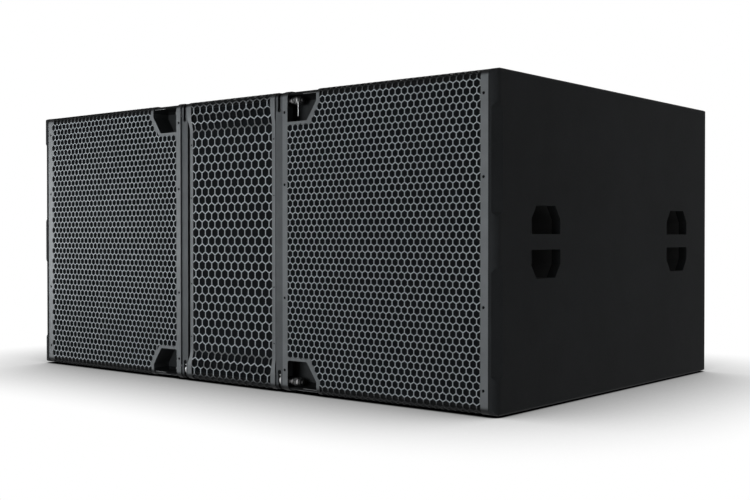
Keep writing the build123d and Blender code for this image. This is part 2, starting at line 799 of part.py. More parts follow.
def cone(side, name):
    """Moving unit: paper cone, domed cap, and voice coil on its former."""
    rim, neck = cone_dia / 2, coil_outer / 2
    start = flange_front - cone_rise
    slope = cone_deep / (rim - neck)
    cap_edge = cap_dia / 2
    cap_at = start + slope * (rim - cap_edge)
    apex = cap_at - cap_rise
    bulge = (cap_edge * cap_bulge[0], cap_at - cap_rise * cap_bulge[1])
    tail = yoke_setback - coil_tail
    with BuildPart() as unit:
        with BuildSketch(driver_plane(side)) as section:
            with BuildLine():
                Polyline(
                    (cap_edge, cap_at),
                    (rim, start),
                    (rim, start + cone_thick),
                    (neck, start + cone_deep + cone_thick),
                    (neck, tail),
                    (coil_inner / 2, tail),
                    (coil_inner / 2, start + cone_deep),
                    (cap_edge - cone_thick, cap_at + cone_thick),
                )
                ThreePointArc(
                    (cap_edge - cone_thick, cap_at + cone_thick),
                    (bulge[0], bulge[1] + cone_thick),
                    (cap_vent / 2, apex + cone_thick),
                )
                Line((cap_vent / 2, apex + cone_thick), (cap_vent / 2, apex))
                ThreePointArc((cap_vent / 2, apex), bulge, (cap_edge, cap_at))
            make_face()
        revolve(section.sketch, axis=driver_axis(side))
    keep(unit, f"cone_{name}")


def surround(side, name):
    """Half roll between the cone's rim and the basket's flange."""
    inner, outer = cone_dia / 2 + soft_gap, basket_inner / 2 + surround_lip
    roll = (outer - surround_lip - inner) / 2
    base = flange_front - soft_gap
    middle_r = inner + roll
    with BuildPart() as roll_ring:
        with BuildSketch(driver_plane(side)) as section:
            with BuildLine():
                Line((inner, base), (inner, base - surround_thick))
                ThreePointArc(
                    (inner, base - surround_thick),
                    (middle_r, base - surround_thick - roll),
                    (middle_r + roll, base - surround_thick),
                )
                Polyline(
                    (middle_r + roll, base - surround_thick),
                    (outer, base - surround_thick),
                    (outer, base),
                    (middle_r + roll - surround_thick, base),
                )
                ThreePointArc(
                    (middle_r + roll - surround_thick, base),
                    (middle_r, base - roll + surround_thick),
                    (inner + surround_thick, base),
                )
                Line((inner + surround_thick, base), (inner, base))
            make_face()
        revolve(section.sketch, axis=driver_axis(side))
    keep(roll_ring, f"surround_{name}")


def spider(side, name):
    """Corrugated disc that centres the coil. Its rim rests on the basket's shelf."""
    inner = coil_outer / 2 + soft_gap
    outer = waist_inner(shelf_setback) - soft_gap
    steps = 2 * spider_waves
    pitch = (outer - inner) / steps
    crest = [(inner + i * pitch, spider_setback + spider_wave * (i % 2)) for i in range(steps + 1)]
    below = [(r, d + spider_thick) for r, d in reversed(crest)]
    with BuildPart() as disc:
        ring(side, crest + below)
    keep(disc, f"spider_{name}")


def driver_screws():
    """Socket head screws through the drivers' flanges."""
    with BuildPart() as screws:
        for side, _ in SIDES:
            for x, z in driver_bolt_places(side):
                head = (x, behind(flange_front), z)
                rod(head, (0, -1, 0), driver_head_dia / 2, driver_head_tall)
                rod(head, (0, 1, 0), driver_screw_dia / 2, flange_thick + baffle_thick)
                socket = (x, behind(flange_front - driver_head_tall), z)
                with BuildSketch(Plane(origin=socket, z_dir=(0, 1, 0))) as hexagon:
                    RegularPolygon(driver_key, 6)
                extrude(hexagon.sketch, amount=driver_key_deep, mode=Mode.SUBTRACT)
    keep(screws, "driver_screws")


# ---------------------------------------------------------------- connectors and wiring
def socket_places():
    """Sockets in a row along X, level with the cabinet's middle."""
    first = -(socket_count - 1) / 2
    return [(first + i) * socket_pitch for i in range(socket_count)]


dish_floor = rear_face - dish_deep


def connector_dish():
    """Pressed steel dish in the middle rear panel, with holes for the sockets."""
    with BuildPart() as dish:
        with BuildSketch(Plane.XZ.offset(-behind(rear_face))):
            with Locations((0, middle)):
                RectangleRounded(dish_wide + 2 * dish_flange, dish_high + 2 * dish_flange, dish_corner)
        extrude(amount=-dish_sheet)
        block(
            (-dish_wide / 2, dish_wide / 2),
            (behind(dish_floor - dish_sheet), behind(rear_face)),
            (middle - dish_high / 2, middle + dish_high / 2),
        )
        block(
            (-dish_wide / 2 + dish_sheet, dish_wide / 2 - dish_sheet),
            (behind(dish_floor), rear),
            (middle - dish_high / 2 + dish_sheet, middle + dish_high / 2 - dish_sheet),
            Mode.SUBTRACT,
        )
        for x in socket_places():
            rod((x, behind(dish_floor), middle), (0, -1, 0), socket_dia / 2, dish_sheet, Mode.SUBTRACT)
    keep(dish, "connector_dish")


def sockets():
    """Round locking speaker sockets on square plates, with a plain hollow for the plug."""
    with BuildPart() as group:
        for x in socket_places():
            face = behind(dish_floor)
            block(
                (x - socket_plate / 2, x + socket_plate / 2),
                (face, face + socket_plate_thick),
                (middle - socket_plate / 2, middle + socket_plate / 2),
            )
            rod((x, face - socket_behind, middle), (0, 1, 0), socket_dia / 2, socket_behind + socket_proud)
            mouth = (x, face + socket_proud, middle)
            rod(mouth, (0, -1, 0), socket_bore / 2 + socket_groove, socket_behind, Mode.SUBTRACT)
            rod(mouth, (0, -1, 0), socket_bore / 2 - socket_groove, socket_behind)
    keep(group, "sockets")


def speaker_wires():
    """One pair of wires to each driver, in a sleeve, from the outermost sockets to the motor's back."""
    with BuildPart() as wires:
        for side, _ in SIDES:
            start_x = side * (socket_count - 1) / 2 * socket_pitch
            leave = behind(dish_floor) - socket_behind
            turn = behind(wall_window_from + wall_window_long / 2)
            end_x = side * (driver_centre - motor_dia / 4)
            points = [
                (start_x, leave, middle),
                (start_x, turn, middle),
                (end_x, turn, middle),
                (end_x, behind(motor_end), middle),
            ]
            with BuildLine() as route:
                FilletPolyline(*points, radius=wire_bend)
            with BuildSketch(Plane(origin=points[0], z_dir=(0, -1, 0))):
                Circle(wire_dia / 2)
            sweep(path=route.wires()[0])
    keep(wires, "speaker_wires")


# ---------------------------------------------------------------- build every piece
for side, name in SIDES:
    side_panel(side, name)
    handle_cups(side, name)
    port_wall(side, name)
    baffle(side, name)
    side_grille(side, name)
    side_foam(side, name)
    driver_basket(side, name)
    driver_motor(side, name)
    cone(side, name)
    surround(side, name)
    spider(side, name)
    for end, end_name in ENDS:
        post(side, name, end, end_name)
        link(side, name, end, end_name)
        for pin_z, level_name in ((pin_low, "bottom"), (pin_high, "top")):
            pin(side, name, end, end_name, pin_z, level_name)

level_panel(1, "top_panel")
level_panel(-1, "floor_panel")
rear_panels()
brace_frames()
skids()
centre_grille()
centre_foam()
grille_rails()
grille_screws()
pocket_liners()
driver_screws()
connector_dish()
sockets()
speaker_wires()
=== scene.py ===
import json
from math import acos, atan2, cos, hypot, pi, radians, sin, sqrt, tan

import bmesh
import bpy
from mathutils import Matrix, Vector, noise
from mathutils.geometry import delaunay_2d_cdt

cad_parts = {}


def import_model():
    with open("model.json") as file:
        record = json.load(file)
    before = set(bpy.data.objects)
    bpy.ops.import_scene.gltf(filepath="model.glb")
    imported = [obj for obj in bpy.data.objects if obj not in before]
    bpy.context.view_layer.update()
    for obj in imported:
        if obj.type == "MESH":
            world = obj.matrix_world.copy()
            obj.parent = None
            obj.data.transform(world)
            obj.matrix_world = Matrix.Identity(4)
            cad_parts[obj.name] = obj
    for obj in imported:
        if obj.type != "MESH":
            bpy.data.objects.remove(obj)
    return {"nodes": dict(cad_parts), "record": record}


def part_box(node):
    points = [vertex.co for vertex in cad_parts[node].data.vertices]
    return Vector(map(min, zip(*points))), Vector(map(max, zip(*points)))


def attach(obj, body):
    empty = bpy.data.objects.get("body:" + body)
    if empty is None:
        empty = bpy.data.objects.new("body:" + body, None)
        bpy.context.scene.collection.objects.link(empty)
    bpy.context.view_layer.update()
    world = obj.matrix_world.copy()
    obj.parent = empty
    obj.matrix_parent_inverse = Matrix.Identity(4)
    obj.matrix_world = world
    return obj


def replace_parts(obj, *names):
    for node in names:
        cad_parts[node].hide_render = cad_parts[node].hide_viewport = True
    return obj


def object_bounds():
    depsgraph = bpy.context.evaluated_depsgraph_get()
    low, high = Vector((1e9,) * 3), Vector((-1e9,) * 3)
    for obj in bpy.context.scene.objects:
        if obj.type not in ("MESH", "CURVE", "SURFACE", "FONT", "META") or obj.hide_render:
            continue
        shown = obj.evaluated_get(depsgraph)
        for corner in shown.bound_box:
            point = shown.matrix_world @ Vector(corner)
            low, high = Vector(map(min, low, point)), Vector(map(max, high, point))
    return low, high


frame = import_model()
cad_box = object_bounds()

# Everything is in metres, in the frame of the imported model: +X right as seen from the front, -Y front, +Z up.
MM = 0.001
SIDES = ((-1, "left"), (1, "right"))
ENDS = ((-1, "front"), (1, "rear"))
LEVELS = ((-1, "bottom"), (1, "top"))

low, high = cad_box
grille_low, grille_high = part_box("grille_right")
middle_z = (grille_low.z + grille_high.z) / 2
half_height = (grille_high.z - grille_low.z) / 2
panel_inside = 642.0 * MM


# ---------------------------------------------------------------- node materials
class Nodes:
    """A material with a Principled shader, and short ways to add the nodes that drive it."""

    def __init__(self, name, roughness=0.5, metallic=0.0, specular=0.5):
        self.material = bpy.data.materials.new(name)
        self.material.use_nodes = True
        self.tree = self.material.node_tree
        self.shader = self.tree.nodes["Principled BSDF"]
        self.shader.inputs["Roughness"].default_value = roughness
        self.shader.inputs["Metallic"].default_value = metallic
        self.shader.inputs["Specular IOR Level"].default_value = specular
        self.place = self.tree.nodes.new("ShaderNodeTexCoord").outputs["Object"]
        self.height = None

    def node(self, kind, **inputs):
        """A new node with values or links on its named inputs."""
        made = self.tree.nodes.new(kind)
        for key, value in inputs.items():
            self.put(value, made.inputs[key.replace("_", " ")])
        return made

    def put(self, value, socket):
        """Link an output to a socket, or set the socket to a plain value."""
        if isinstance(value, bpy.types.NodeSocket):
            self.tree.links.new(value, socket)
        else:
            socket.default_value = value

    def maths(self, operation, *values):
        """The result of one step of arithmetic."""
        step = self.node("ShaderNodeMath")
        step.operation = operation
        for value, socket in zip(values, step.inputs):
            self.put(value, socket)
        return step.outputs["Value"]

    def product(self, *values):
        """The product of colours and numbers."""
        result = values[0]
        for value in values[1:]:
            times = self.node("ShaderNodeVectorMath")
            times.operation = "MULTIPLY"
            self.put(result, times.inputs[0])
            self.put(value, times.inputs[1])
            result = times.outputs["Vector"]
        return result

    def parts(self, vector):
        """The X, Y and Z of a vector."""
        return self.node("ShaderNodeSeparateXYZ", Vector=vector).outputs

    def facing(self):
        """The direction that the surface faces, without its relief."""
        return self.tree.nodes.new("ShaderNodeNewGeometry").outputs["True Normal"]

    def noise(self, scale, detail=3.0, roughness=0.55, stretch=None):
        """Cloudy noise from 0 to 1. Scale is in lumps for each metre."""
        place = self.place
        if stretch:
            mapping = self.node("ShaderNodeMapping", Vector=place)
            mapping.inputs["Scale"].default_value = stretch
            place = mapping.outputs["Vector"]
        made = self.node("ShaderNodeTexNoise", Vector=place, Scale=scale, Detail=detail, Roughness=roughness)
        return made.outputs["Fac"]

    def cells(self, scale):
        """The distance to the nearest of many scattered points: pebbles or pores."""
        return self.node("ShaderNodeTexVoronoi", Vector=self.place, Scale=scale).outputs["Distance"]

    def ramp(self, factor, stops):
        """Colours or levels that follow a number from 0 to 1. stops are (position, colour or level)."""
        made = self.node("ShaderNodeValToRGB", Fac=factor)
        elements = made.color_ramp.elements
        while len(elements) < len(stops):
            elements.new(0.5)
        for element, (position, colour) in zip(elements, stops):
            element.position = position
            rgb = colour if isinstance(colour, tuple) else (colour, colour, colour)
            element.color = (*rgb, 1.0)
        return made.outputs["Color"]

    def bump(self, height, distance, strength=1.0):
        """Add one layer of relief. Distance is its depth in metres."""
        made = self.node("ShaderNodeBump", Height=height, Distance=distance, Strength=strength)
        if self.height:
            self.put(self.height, made.inputs["Normal"])
        self.height = made.outputs["Normal"]
        self.put(self.height, self.shader.inputs["Normal"])

    def colour(self, value):
        """Drive the base colour."""
        self.put(value, self.shader.inputs["Base Color"])

    def rough(self, value):
        """Drive the roughness."""
        self.put(value, self.shader.inputs["Roughness"])


def grey(level, cool=0.0):
    """A neutral linear colour, with a little more blue where cool is above 0."""
    return (level * (1 - cool), level, level * (1 + cool))


coat_grain, coat_relief = 2600.0, 0.02 * MM
# Painted shade on the folded ends of the grilles and on the ends of the posts: its length at the bottom, its
# length at the top, and its darkest level.
grille_end_painted_shade = (18.0 * MM, 11.0 * MM, 0.06)
post_end_painted_shade = (17.0 * MM, 11.0 * MM, 0.08)
end_soft = 3.0 * MM
# Level of the painted shade inside the posts' slots.
slot_painted_shade = 0.15
# Base of the painted highlight on the grille webs; raised to the web attribute, it also gives the holes' walls
# painted shade.
web_painted_highlight = 3.55
# Level of the painted shade on the front edges of the boards behind the grilles and posts.
hidden_edge_painted_shade = 0.2


def mottled(made, level, cool, spread):
    """A coat's colour with faint clouds in it."""
    dark, pale = grey(level * (1 - spread), cool), grey(level * (1 + spread), cool)
    return made.ramp(made.noise(34.0, 4.0), ((0.3, dark), (0.7, pale)))


def end_shade(made, below, above, dark):
    """Painted shade on the ends of an upright piece: 1 between the ends and dark on them. below and above are
    the ends' lengths.
    """
    share = made.maths("DIVIDE", made.parts(made.place)["Z"], high.z)
    stops = [
        (below - 2 * end_soft, dark),
        (below, 1.0),
        (high.z - above, 1.0),
        (high.z - above + end_soft, dark),
    ]
    return made.ramp(share, [(z / high.z, level) for z, level in stops])


def painted(name, level, cool, roughness, specular=0.5):
    """Powder coat: fine orange peel, and a faint mottle in its colour and roughness."""
    made = Nodes(name, specular=specular)
    made.colour(mottled(made, level, cool, 0.12))
    made.rough(made.ramp(made.noise(90.0), ((0.3, roughness - 0.05), (0.7, roughness + 0.05))))
    made.bump(made.noise(coat_grain, 2.0), coat_relief)
    return made.material


def upright_coat(made, coat, ends, roughness):
    """Finish the powder coat of an upright piece, dull on its ends."""
    made.colour(coat)
    made.rough(made.ramp(ends, ((0.1, 1.0), (0.9, roughness))))
    made.bump(made.noise(coat_grain, 2.0), coat_relief)
    return made.material


def post_coat(name, level, cool, roughness, specular):
    """Powder coat of the posts, with painted shade on their ends and inside their slots."""
    made = Nodes(name, specular=specular)
    coat = mottled(made, level, cool, 0.12)
    across = made.maths("ABSOLUTE", made.parts(made.facing())["Y"])
    # Painted shade on the ends of the post.
    ends = end_shade(made, *post_end_painted_shade)
    # Painted shade on the slot walls, which face sideways.
    slots = made.ramp(across, ((0.5, slot_painted_shade), (0.8, 1.0)))
    return upright_coat(made, made.product(coat, slots, ends), ends, roughness)


def grille_coat(name, level, cool, roughness, specular):
    """Powder coat of the grilles, with a painted highlight on the webs, painted shade on the holes' walls, and
    painted shade round the folds.
    """
    made = Nodes(name, specular=specular)
    coat = mottled(made, level, cool, 0.1)
    web = made.tree.nodes.new("ShaderNodeAttribute")
    web.attribute_name = "web"
    # Painted highlight on the webs and painted shade on the holes' walls.
    gain = made.maths("POWER", web_painted_highlight, web.outputs["Fac"])
    # Painted shade round the folded ends of the grille.
    ends = end_shade(made, *grille_end_painted_shade)
    return upright_coat(made, made.product(coat, gain, ends), ends, roughness)


def textured_coat():
    """Hard sprayed coating of the cabinet: black, with a pebbled relief and soft sheen.

    Its colour is painted darker on the front edges of the boards behind the grilles and posts, as painted shade
    of the gaps there.
    """
    made = Nodes("cabinet_paint", specular=0.08)
    across = made.maths("ABSOLUTE", made.parts(made.place)["X"])
    soft = 0.5 * MM
    outside = made.ramp(across, ((panel_inside - soft, 0.0), (panel_inside + soft, 1.0)))
    forward = made.maths("SUBTRACT", 0.0, made.parts(made.facing())["Y"])
    sideways = made.ramp(forward, ((0.6, 1.0), (0.9, 0.0)))
    # Painted shade on front-facing surfaces between the side panels: the front edges of the boards behind the
    # grilles and posts.
    edges = made.ramp(made.maths("MAXIMUM", outside, sideways), ((0.0, hidden_edge_painted_shade), (1.0, 1.0)))
    coat = made.ramp(made.noise(7.0, 5.0), ((0.35, grey(0.0118, 0.05)), (0.65, grey(0.0155, 0.05))))
    made.colour(made.product(coat, edges))
    made.rough(made.ramp(made.noise(420.0, 3.0), ((0.3, 0.7), (0.7, 0.85))))
    made.bump(made.cells(520.0), 0.12 * MM, 0.5)
    made.bump(made.noise(1500.0, 3.0), 0.04 * MM, 0.6)
    return made.material


def birch():
    """Bare plywood face: long grain with darker streaks."""
    made = Nodes("bare_birch", specular=0.35)
    grain = made.noise(14.0, 6.0, 0.65, (1.0, 1.0, 14.0))
    dark, middle, pale = (0.42, 0.27, 0.14), (0.58, 0.42, 0.25), (0.66, 0.5, 0.32)
    made.colour(made.ramp(grain, ((0.3, dark), (0.55, middle), (0.75, pale))))
    made.rough(made.ramp(grain, ((0.3, 0.5), (0.7, 0.66))))
    made.bump(grain, 0.1 * MM, 0.4)
    return made.material


def open_foam():
    """Open celled acoustic foam, with pores of about 1.5 mm."""
    made = Nodes("acoustic_foam", roughness=0.95, specular=0.05)
    pores = made.cells(700.0)
    made.colour(made.ramp(pores, ((0.1, grey(0.0015, 0.1)), (0.7, grey(0.007, 0.12)))))
    made.bump(pores, 0.5 * MM, 0.8)
    made.bump(made.noise(90.0, 3.0), 0.8 * MM, 0.5)
    return made.material


def brushed(name, level):
    """Turned or plated steel with fine lines round its axis, which lies along X."""
    made = Nodes(name, metallic=1.0)
    lines = made.noise(60.0, 4.0, 0.6, (40.0, 1.0, 1.0))
    made.colour(made.ramp(lines, ((0.3, grey(level * 0.86)), (0.7, grey(level * 1.08)))))
    made.rough(made.ramp(lines, ((0.3, 0.24), (0.7, 0.38))))
    made.bump(lines, 0.01 * MM, 0.4)
    return made.material


def plastic(name, level, roughness, grain=900.0):
    """Moulded plastic or rubber with a fine grain."""
    made = Nodes(name, specular=0.45)
    made.colour(made.ramp(made.noise(18.0, 3.0), ((0.3, grey(level * 0.8)), (0.7, grey(level * 1.2)))))
    made.rough(made.ramp(made.noise(160.0), ((0.3, roughness - 0.05), (0.7, roughness + 0.06))))
    made.bump(made.noise(grain, 2.0), 0.03 * MM, 0.7)
    return made.material


def cast(name, level, metallic, roughness):
    """Sand cast or painted casting: lumpy skin with small pits."""
    made = Nodes(name, metallic=metallic)
    made.colour(made.ramp(made.noise(28.0, 5.0), ((0.3, grey(level * 0.8)), (0.7, grey(level * 1.2)))))
    made.rough(made.ramp(made.noise(120.0, 3.0), ((0.3, roughness - 0.08), (0.7, roughness + 0.08))))
    made.bump(made.noise(700.0, 4.0), 0.08 * MM, 0.6)
    return made.material


def paper():
    """Pressed paper pulp with short fibres."""
    made = Nodes("cone_paper", roughness=0.85, specular=0.2)
    fibres = made.noise(260.0, 5.0, 0.7, (1.0, 1.0, 3.0))
    made.colour(made.ramp(fibres, ((0.3, grey(0.035)), (0.7, grey(0.065)))))
    made.bump(fibres, 0.15 * MM, 0.6)
    return made.material


def spider_cloth():
    """Resin dipped cotton weave."""
    made = Nodes("spider_cloth", roughness=0.8, specular=0.25)
    weave = made.cells(900.0)
    made.colour(made.ramp(weave, ((0.1, (0.3, 0.17, 0.05)), (0.7, (0.55, 0.36, 0.13)))))
    made.bump(weave, 0.2 * MM, 0.6)
    return made.material


MATERIALS = {
    "cabinet_paint": textured_coat(),
    "bare_birch": birch(),
    "grille_paint": grille_coat("grille_paint", 0.074, 0.05, 0.4, 0.38),
    "acoustic_foam": open_foam(),
    "post_paint": post_coat("post_paint", 0.048, 0.05, 0.44, 0.18),
    # The links' level is their black paint, made darker still as painted shade of the deep slots they sit in.
    "link_steel": painted("link_steel", 0.008, 0.03, 0.45, 0.2),
    "pin_steel": brushed("pin_steel", 0.4),
    "button_plastic": plastic("button_plastic", 0.02, 0.35),
    "handle_plastic": plastic("handle_plastic", 0.022, 0.6),
    "liner_paint": painted("liner_paint", 0.013, 0.05, 0.5, 0.3),
    "skid_plastic": plastic("skid_plastic", 0.014, 0.6),
    "screw_black": painted("screw_black", 0.075, 0.05, 0.4, 0.38),
    "basket_aluminium": cast("basket_aluminium", 0.12, 0.6, 0.5),
    "motor_iron": cast("motor_iron", 0.07, 0.7, 0.55),
    "cone_paper": paper(),
    "surround_rubber": plastic("surround_rubber", 0.02, 0.65, 500.0),
    "spider_cloth": spider_cloth(),
    "dish_paint": painted("dish_paint", 0.03, 0.0, 0.45),
    "socket_plastic": plastic("socket_plastic", 0.018, 0.4),
    "wire_rubber": plastic("wire_rubber", 0.02, 0.6, 700.0),
}


def dress_frame():
    """Give every CAD node the material of its slot."""
    for part in frame["record"]["subparts"]:
        node = frame["nodes"][part["node"]]
        node.data.materials.clear()
        node.data.materials.append(MATERIALS[part["material_slot"]])


sharp_from = radians(30.0)


def new_piece(name, mesh, slot, body="cabinet"):
    """Link a mesh as a piece that rides on a body and takes the finish of a slot."""
    skin = bmesh.new()
    skin.from_mesh(mesh)
    bmesh.ops.recalc_face_normals(skin, faces=skin.faces)
    skin.to_mesh(mesh)
    skin.free()
    mesh.materials.append(MATERIALS[slot])
    mesh.shade_smooth()
    mesh.set_sharp_from_angle(angle=sharp_from)
    piece = bpy.data.objects.new(name, mesh)
    bpy.context.scene.collection.objects.link(piece)
    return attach(piece, body)


# ---------------------------------------------------------------- folded and perforated sheets
sheet = 1.5 * MM
arc_step = radians(11.0)
merged, same_place = 1e-7, 1e-6
smallest_hole = 0.34
longest_web = 0.62
# The web attribute of the holes' walls, which gives them painted shade.
hole_wall_painted_shade = -1.5


def turned_by(vector, angle):
    """A flat vector turned anticlockwise."""
    x, y = vector
    return Vector((x * cos(angle) - y * sin(angle), x * sin(angle) + y * cos(angle)))


class Fold:
    """A sheet's section through (y, z) corners, given from its lower lip round the front to its upper lip.

    at(s, t) is the point at a distance s along the outer face, counted from the section's middle,
    and t deep into the sheet.
    """

    def __init__(self, corners, rounds):
        self.samples = []
        points = [Vector(c) for c in corners]
        self.add(points[0], (points[1] - points[0]).normalized())
        for before, corner, after, radius in zip(points, points[1:], points[2:], rounds):
            into = (corner - before).normalized()
            out = (after - corner).normalized()
            turn = acos(max(-1.0, min(1.0, into.dot(out))))
            side = 1 if into.x * out.y - into.y * out.x > 0 else -1
            start = corner - into * radius * tan(turn / 2)
            normal = Vector((-into.y, into.x)) * side
            centre = start + normal * radius
            steps = max(2, round(turn / arc_step))
            for i in range(steps + 1):
                angle = side * turn * i / steps
                self.add(centre + turned_by(-normal * radius, angle), turned_by(into, angle))
        self.add(points[-1], (points[-1] - points[-2]).normalized())
        half = self.samples[-1][0] / 2
        self.samples = [(s - half, p, n) for s, p, n in self.samples]
        self.half = half

    def add(self, point, heading):
        """Append a sample of the outer face: its distance, its point, and the way into the sheet."""
        inward = Vector((heading.y, -heading.x))
        s = self.samples[-1][0] + (point - self.samples[-1][1]).length if self.samples else 0.0
        self.samples.append((s, point, inward))

    def at(self, s, t):
        for (s0, p0, n0), (s1, p1, n1) in zip(self.samples, self.samples[1:]):
            if s <= s1 or s1 is self.samples[-1][0]:
                share = (s - s0) / (s1 - s0) if s1 > s0 else 0.0
                inward = n0.lerp(n1, share).normalized()
                return p0.lerp(p1, share) + inward * t
        return self.samples[-1][1] + self.samples[-1][2] * t

    def breaks(self):
        """The distances at which the section bends."""
        return [s for s, _, _ in self.samples[1:-1]]


def rounded(corners, rounds):
    """A closed outline with some of its corners rounded off, as (x, s) points."""
    outline = []
    for i, corner in enumerate(corners):
        radius = rounds.get(i, 0.0)
        if not radius:
            outline.append(corner)
            continue
        here = Vector(corner)
        before = (Vector(corners[i - 1]) - here).normalized()
        after = (Vector(corners[(i + 1) % len(corners)]) - here).normalized()
        opening = acos(before.dot(after))
        centre = here + (before + after).normalized() * radius / sin(opening / 2)
        start = here + before * radius / tan(opening / 2) - centre
        stop = here + after * radius / tan(opening / 2) - centre
        first = atan2(start.y, start.x)
        turn = (atan2(stop.y, stop.x) - first + pi) % (2 * pi) - pi
        steps = 4
        for k in range(steps + 1):
            angle = first + turn * k / steps
            outline.append((centre.x + radius * cos(angle), centre.y + radius * sin(angle)))
    return outline


def area(outline):
    """The area that an outline encloses."""
    pairs = zip(outline, outline[1:] + outline[:1])
    return abs(sum(a[0] * b[1] - b[0] * a[1] for a, b in pairs)) / 2


def clipped(outline, line):
    """The part of a convex outline where a*x + b*s >= c, for line (a, b, c)."""
    a, b, c = line
    kept = []
    for here, after in zip(outline, outline[1:] + outline[:1]):
        depth_here = a * here[0] + b * here[1] - c
        depth_after = a * after[0] + b * after[1] - c
        if depth_here >= 0:
            kept.append(here)
        if depth_here * depth_after < 0:
            share = depth_here / (depth_here - depth_after)
            kept.append(tuple(p + share * (q - p) for p, q in zip(here, after)))
    return kept


def hexagon(x, s, flats):
    """A regular hexagon with one corner up."""
    radius = flats / sqrt(3)
    return [(x + radius * cos(radians(a)), s + radius * sin(radians(a))) for a in range(30, 390, 60)]


def honeycomb(pitch, flats, columns, first_x, rows, wide_rows_odd, field, keep_outs):
    """Hexagonal holes with one corner up, in offset rows, clipped to a field.

    There are rows rows on each side of the middle one. Every other row starts half a pitch further out and
    has one hole more. field is a list of lines as for clipped(). keep_outs are convex regions given by the
    lines that bound them from outside: a hole keeps the largest part that lies wholly on the outer side of
    one of a region's lines.
    """
    row_pitch = pitch * sqrt(3) / 2
    whole = area(hexagon(0.0, 0.0, flats))
    holes = []
    for row in range(-rows, rows + 1):
        wide = (row % 2 == 1) == wide_rows_odd
        count = columns if wide else columns + 1
        start = first_x if wide else first_x - pitch / 2
        for column in range(count):
            hole = hexagon(start + column * pitch, row * row_pitch, flats)
            for line in field:
                hole = clipped(hole, line)
            for region in keep_outs:
                if hole:
                    hole = max((clipped(hole, line) for line in region), key=area)
            if len(hole) > 2 and area(hole) > smallest_hole * whole:
                holes.append(hole)
    return holes


def circle(x, s, radius, count=16):
    """A round outline."""
    angles = [2 * pi * i / count for i in range(count)]
    return [(x + radius * cos(angle), s + radius * sin(angle)) for angle in angles]


def perforated(name, fold, outline, holes, bores, side, pitch):
    """A folded sheet with holes and bores for screws, as a mesh with both faces and all its cut edges.

    side mirrors the sheet in X where it is -1. The attribute web is 1 on the webs between the holes, 0 on
    the plain parts and the long edges, and below 0 on the walls of the holes.
    """
    points, edges, faces = [], [], []
    for loop in (outline, *holes, *bores):
        start = len(points)
        points += loop
        faces.append(list(range(start, start + len(loop))))
    bore_start = len(outline) + sum(len(loop) for loop in holes)
    xs = [p[0] for p in outline]
    for s in fold.breaks():
        edges.append((len(points), len(points) + 1))
        points += [(min(xs) - MM, s), (max(xs) + MM, s)]
    made = delaunay_2d_cdt([Vector(p) for p in points], edges, faces, 0, merged)
    verts, _, triangles, sources, _, owners = made
    kept = [t for t, owner in zip(triangles, owners) if owner == [0]]
    used = sorted({v for t in kept for v in t})
    rim = {v for v, olds in enumerate(sources) if any(len(outline) <= old < bore_start for old in olds)}

    def is_web(triangle):
        sides = zip(triangle, triangle[1:] + triangle[:1])
        longest = max((verts[a] - verts[b]).length for a, b in sides)
        return rim.issuperset(triangle) and longest < longest_web * pitch

    between = [is_web(t) for t in kept]
    place = {v: i for i, v in enumerate(used)}
    kept = [[place[v] for v in t] for t in kept]
    count = len(used)
    coords = []
    for t in (0.0, sheet):
        for v in used:
            x, s = verts[v]
            y, z = fold.at(s, t)
            coords.append((side * x, y, z))
    directed = dict.fromkeys(edge for a, b, c in kept for edge in ((a, b), (b, c), (c, a)))
    walls = [(b, a, a + count, b + count) for a, b in directed if (b, a) not in directed]
    backs = [(c + count, b + count, a + count) for a, b, c in kept]
    polygons = [tuple(t) for t in kept] + backs + walls
    if side < 0:
        polygons = [tuple(reversed(p)) for p in polygons]
    mesh = bpy.data.meshes.new(name)
    mesh.from_pydata(coords, [], polygons)
    outer_edges = (side * min(xs), side * max(xs))
    wall_shade_values = []
    for wall in walls:
        on_edge = any(all(abs(coords[v][0] - x) < same_place for v in wall) for x in outer_edges)
        # The walls of the holes get painted shade through the web attribute.
        wall_shade_values.append(0.0 if on_edge else hole_wall_painted_shade)
    web = mesh.attributes.new("web", "FLOAT", "FACE")
    web.data.foreach_set("value", [float(b) for b in between] * 2 + wall_shade_values)
    return mesh


grille_bend = 14.0 * MM
pocket_rim_inner = 13.5 * MM
pocket_wide, pocket_foot_wide = 77.0 * MM, 52.0 * MM
pocket_tall, pocket_straight, pocket_round = 61.5 * MM, 25.0 * MM, 4.5 * MM
rim_beside, rim_under = 8.0 * MM, 5.5 * MM
outer_strip, inner_strip, centre_strip = 15.8 * MM, 13.5 * MM, 9.4 * MM
lip_solid = 3.0 * MM
grille_shift, grille_phase = 0.75 * MM, 1.35 * MM
side_pitch, side_flats, side_columns, side_rows = 14.32 * MM, 12.65 * MM, 32, 26
centre_pitch, centre_flats, centre_columns, centre_rows = 20.06 * MM, 17.95 * MM, 12, 19
screw_hole = 4.5 * MM
centre_screw_share = 0.6
screw_drops = (42.0 * MM, 185.0 * MM)
centre_screw_drops = (92.0 * MM, 205.0 * MM)
screw_inset, inner_screw_inset, centre_screw_inset = 9.8 * MM, 5.5 * MM, 4.4 * MM
post_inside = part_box("front_post_right")[0].x
centre_half, centre_ears, centre_recess = post_inside - 4.1 * MM, post_inside - 0.7 * MM, 5.3 * MM
ramp_length, ramp_end, ramp_bend, ear_taper = 26.0 * MM, 59.0 * MM, 30.0 * MM, 8.0 * MM
pocket_near = grille_low.x + pocket_rim_inner
pocket_foot, pocket_far = pocket_near + pocket_foot_wide, pocket_near + pocket_wide
foot_s, shoulder_s = half_height - pocket_tall, half_height - pocket_straight


def screw_bores(places, drops, radius):
    """Round holes at each x of places, at each drop from both ends of the sheet."""
    spots = [(x, level * (half_height - drop)) for x in places for drop in drops for level in (-1, 1)]
    return [circle(x, s, radius) for x, s in spots]


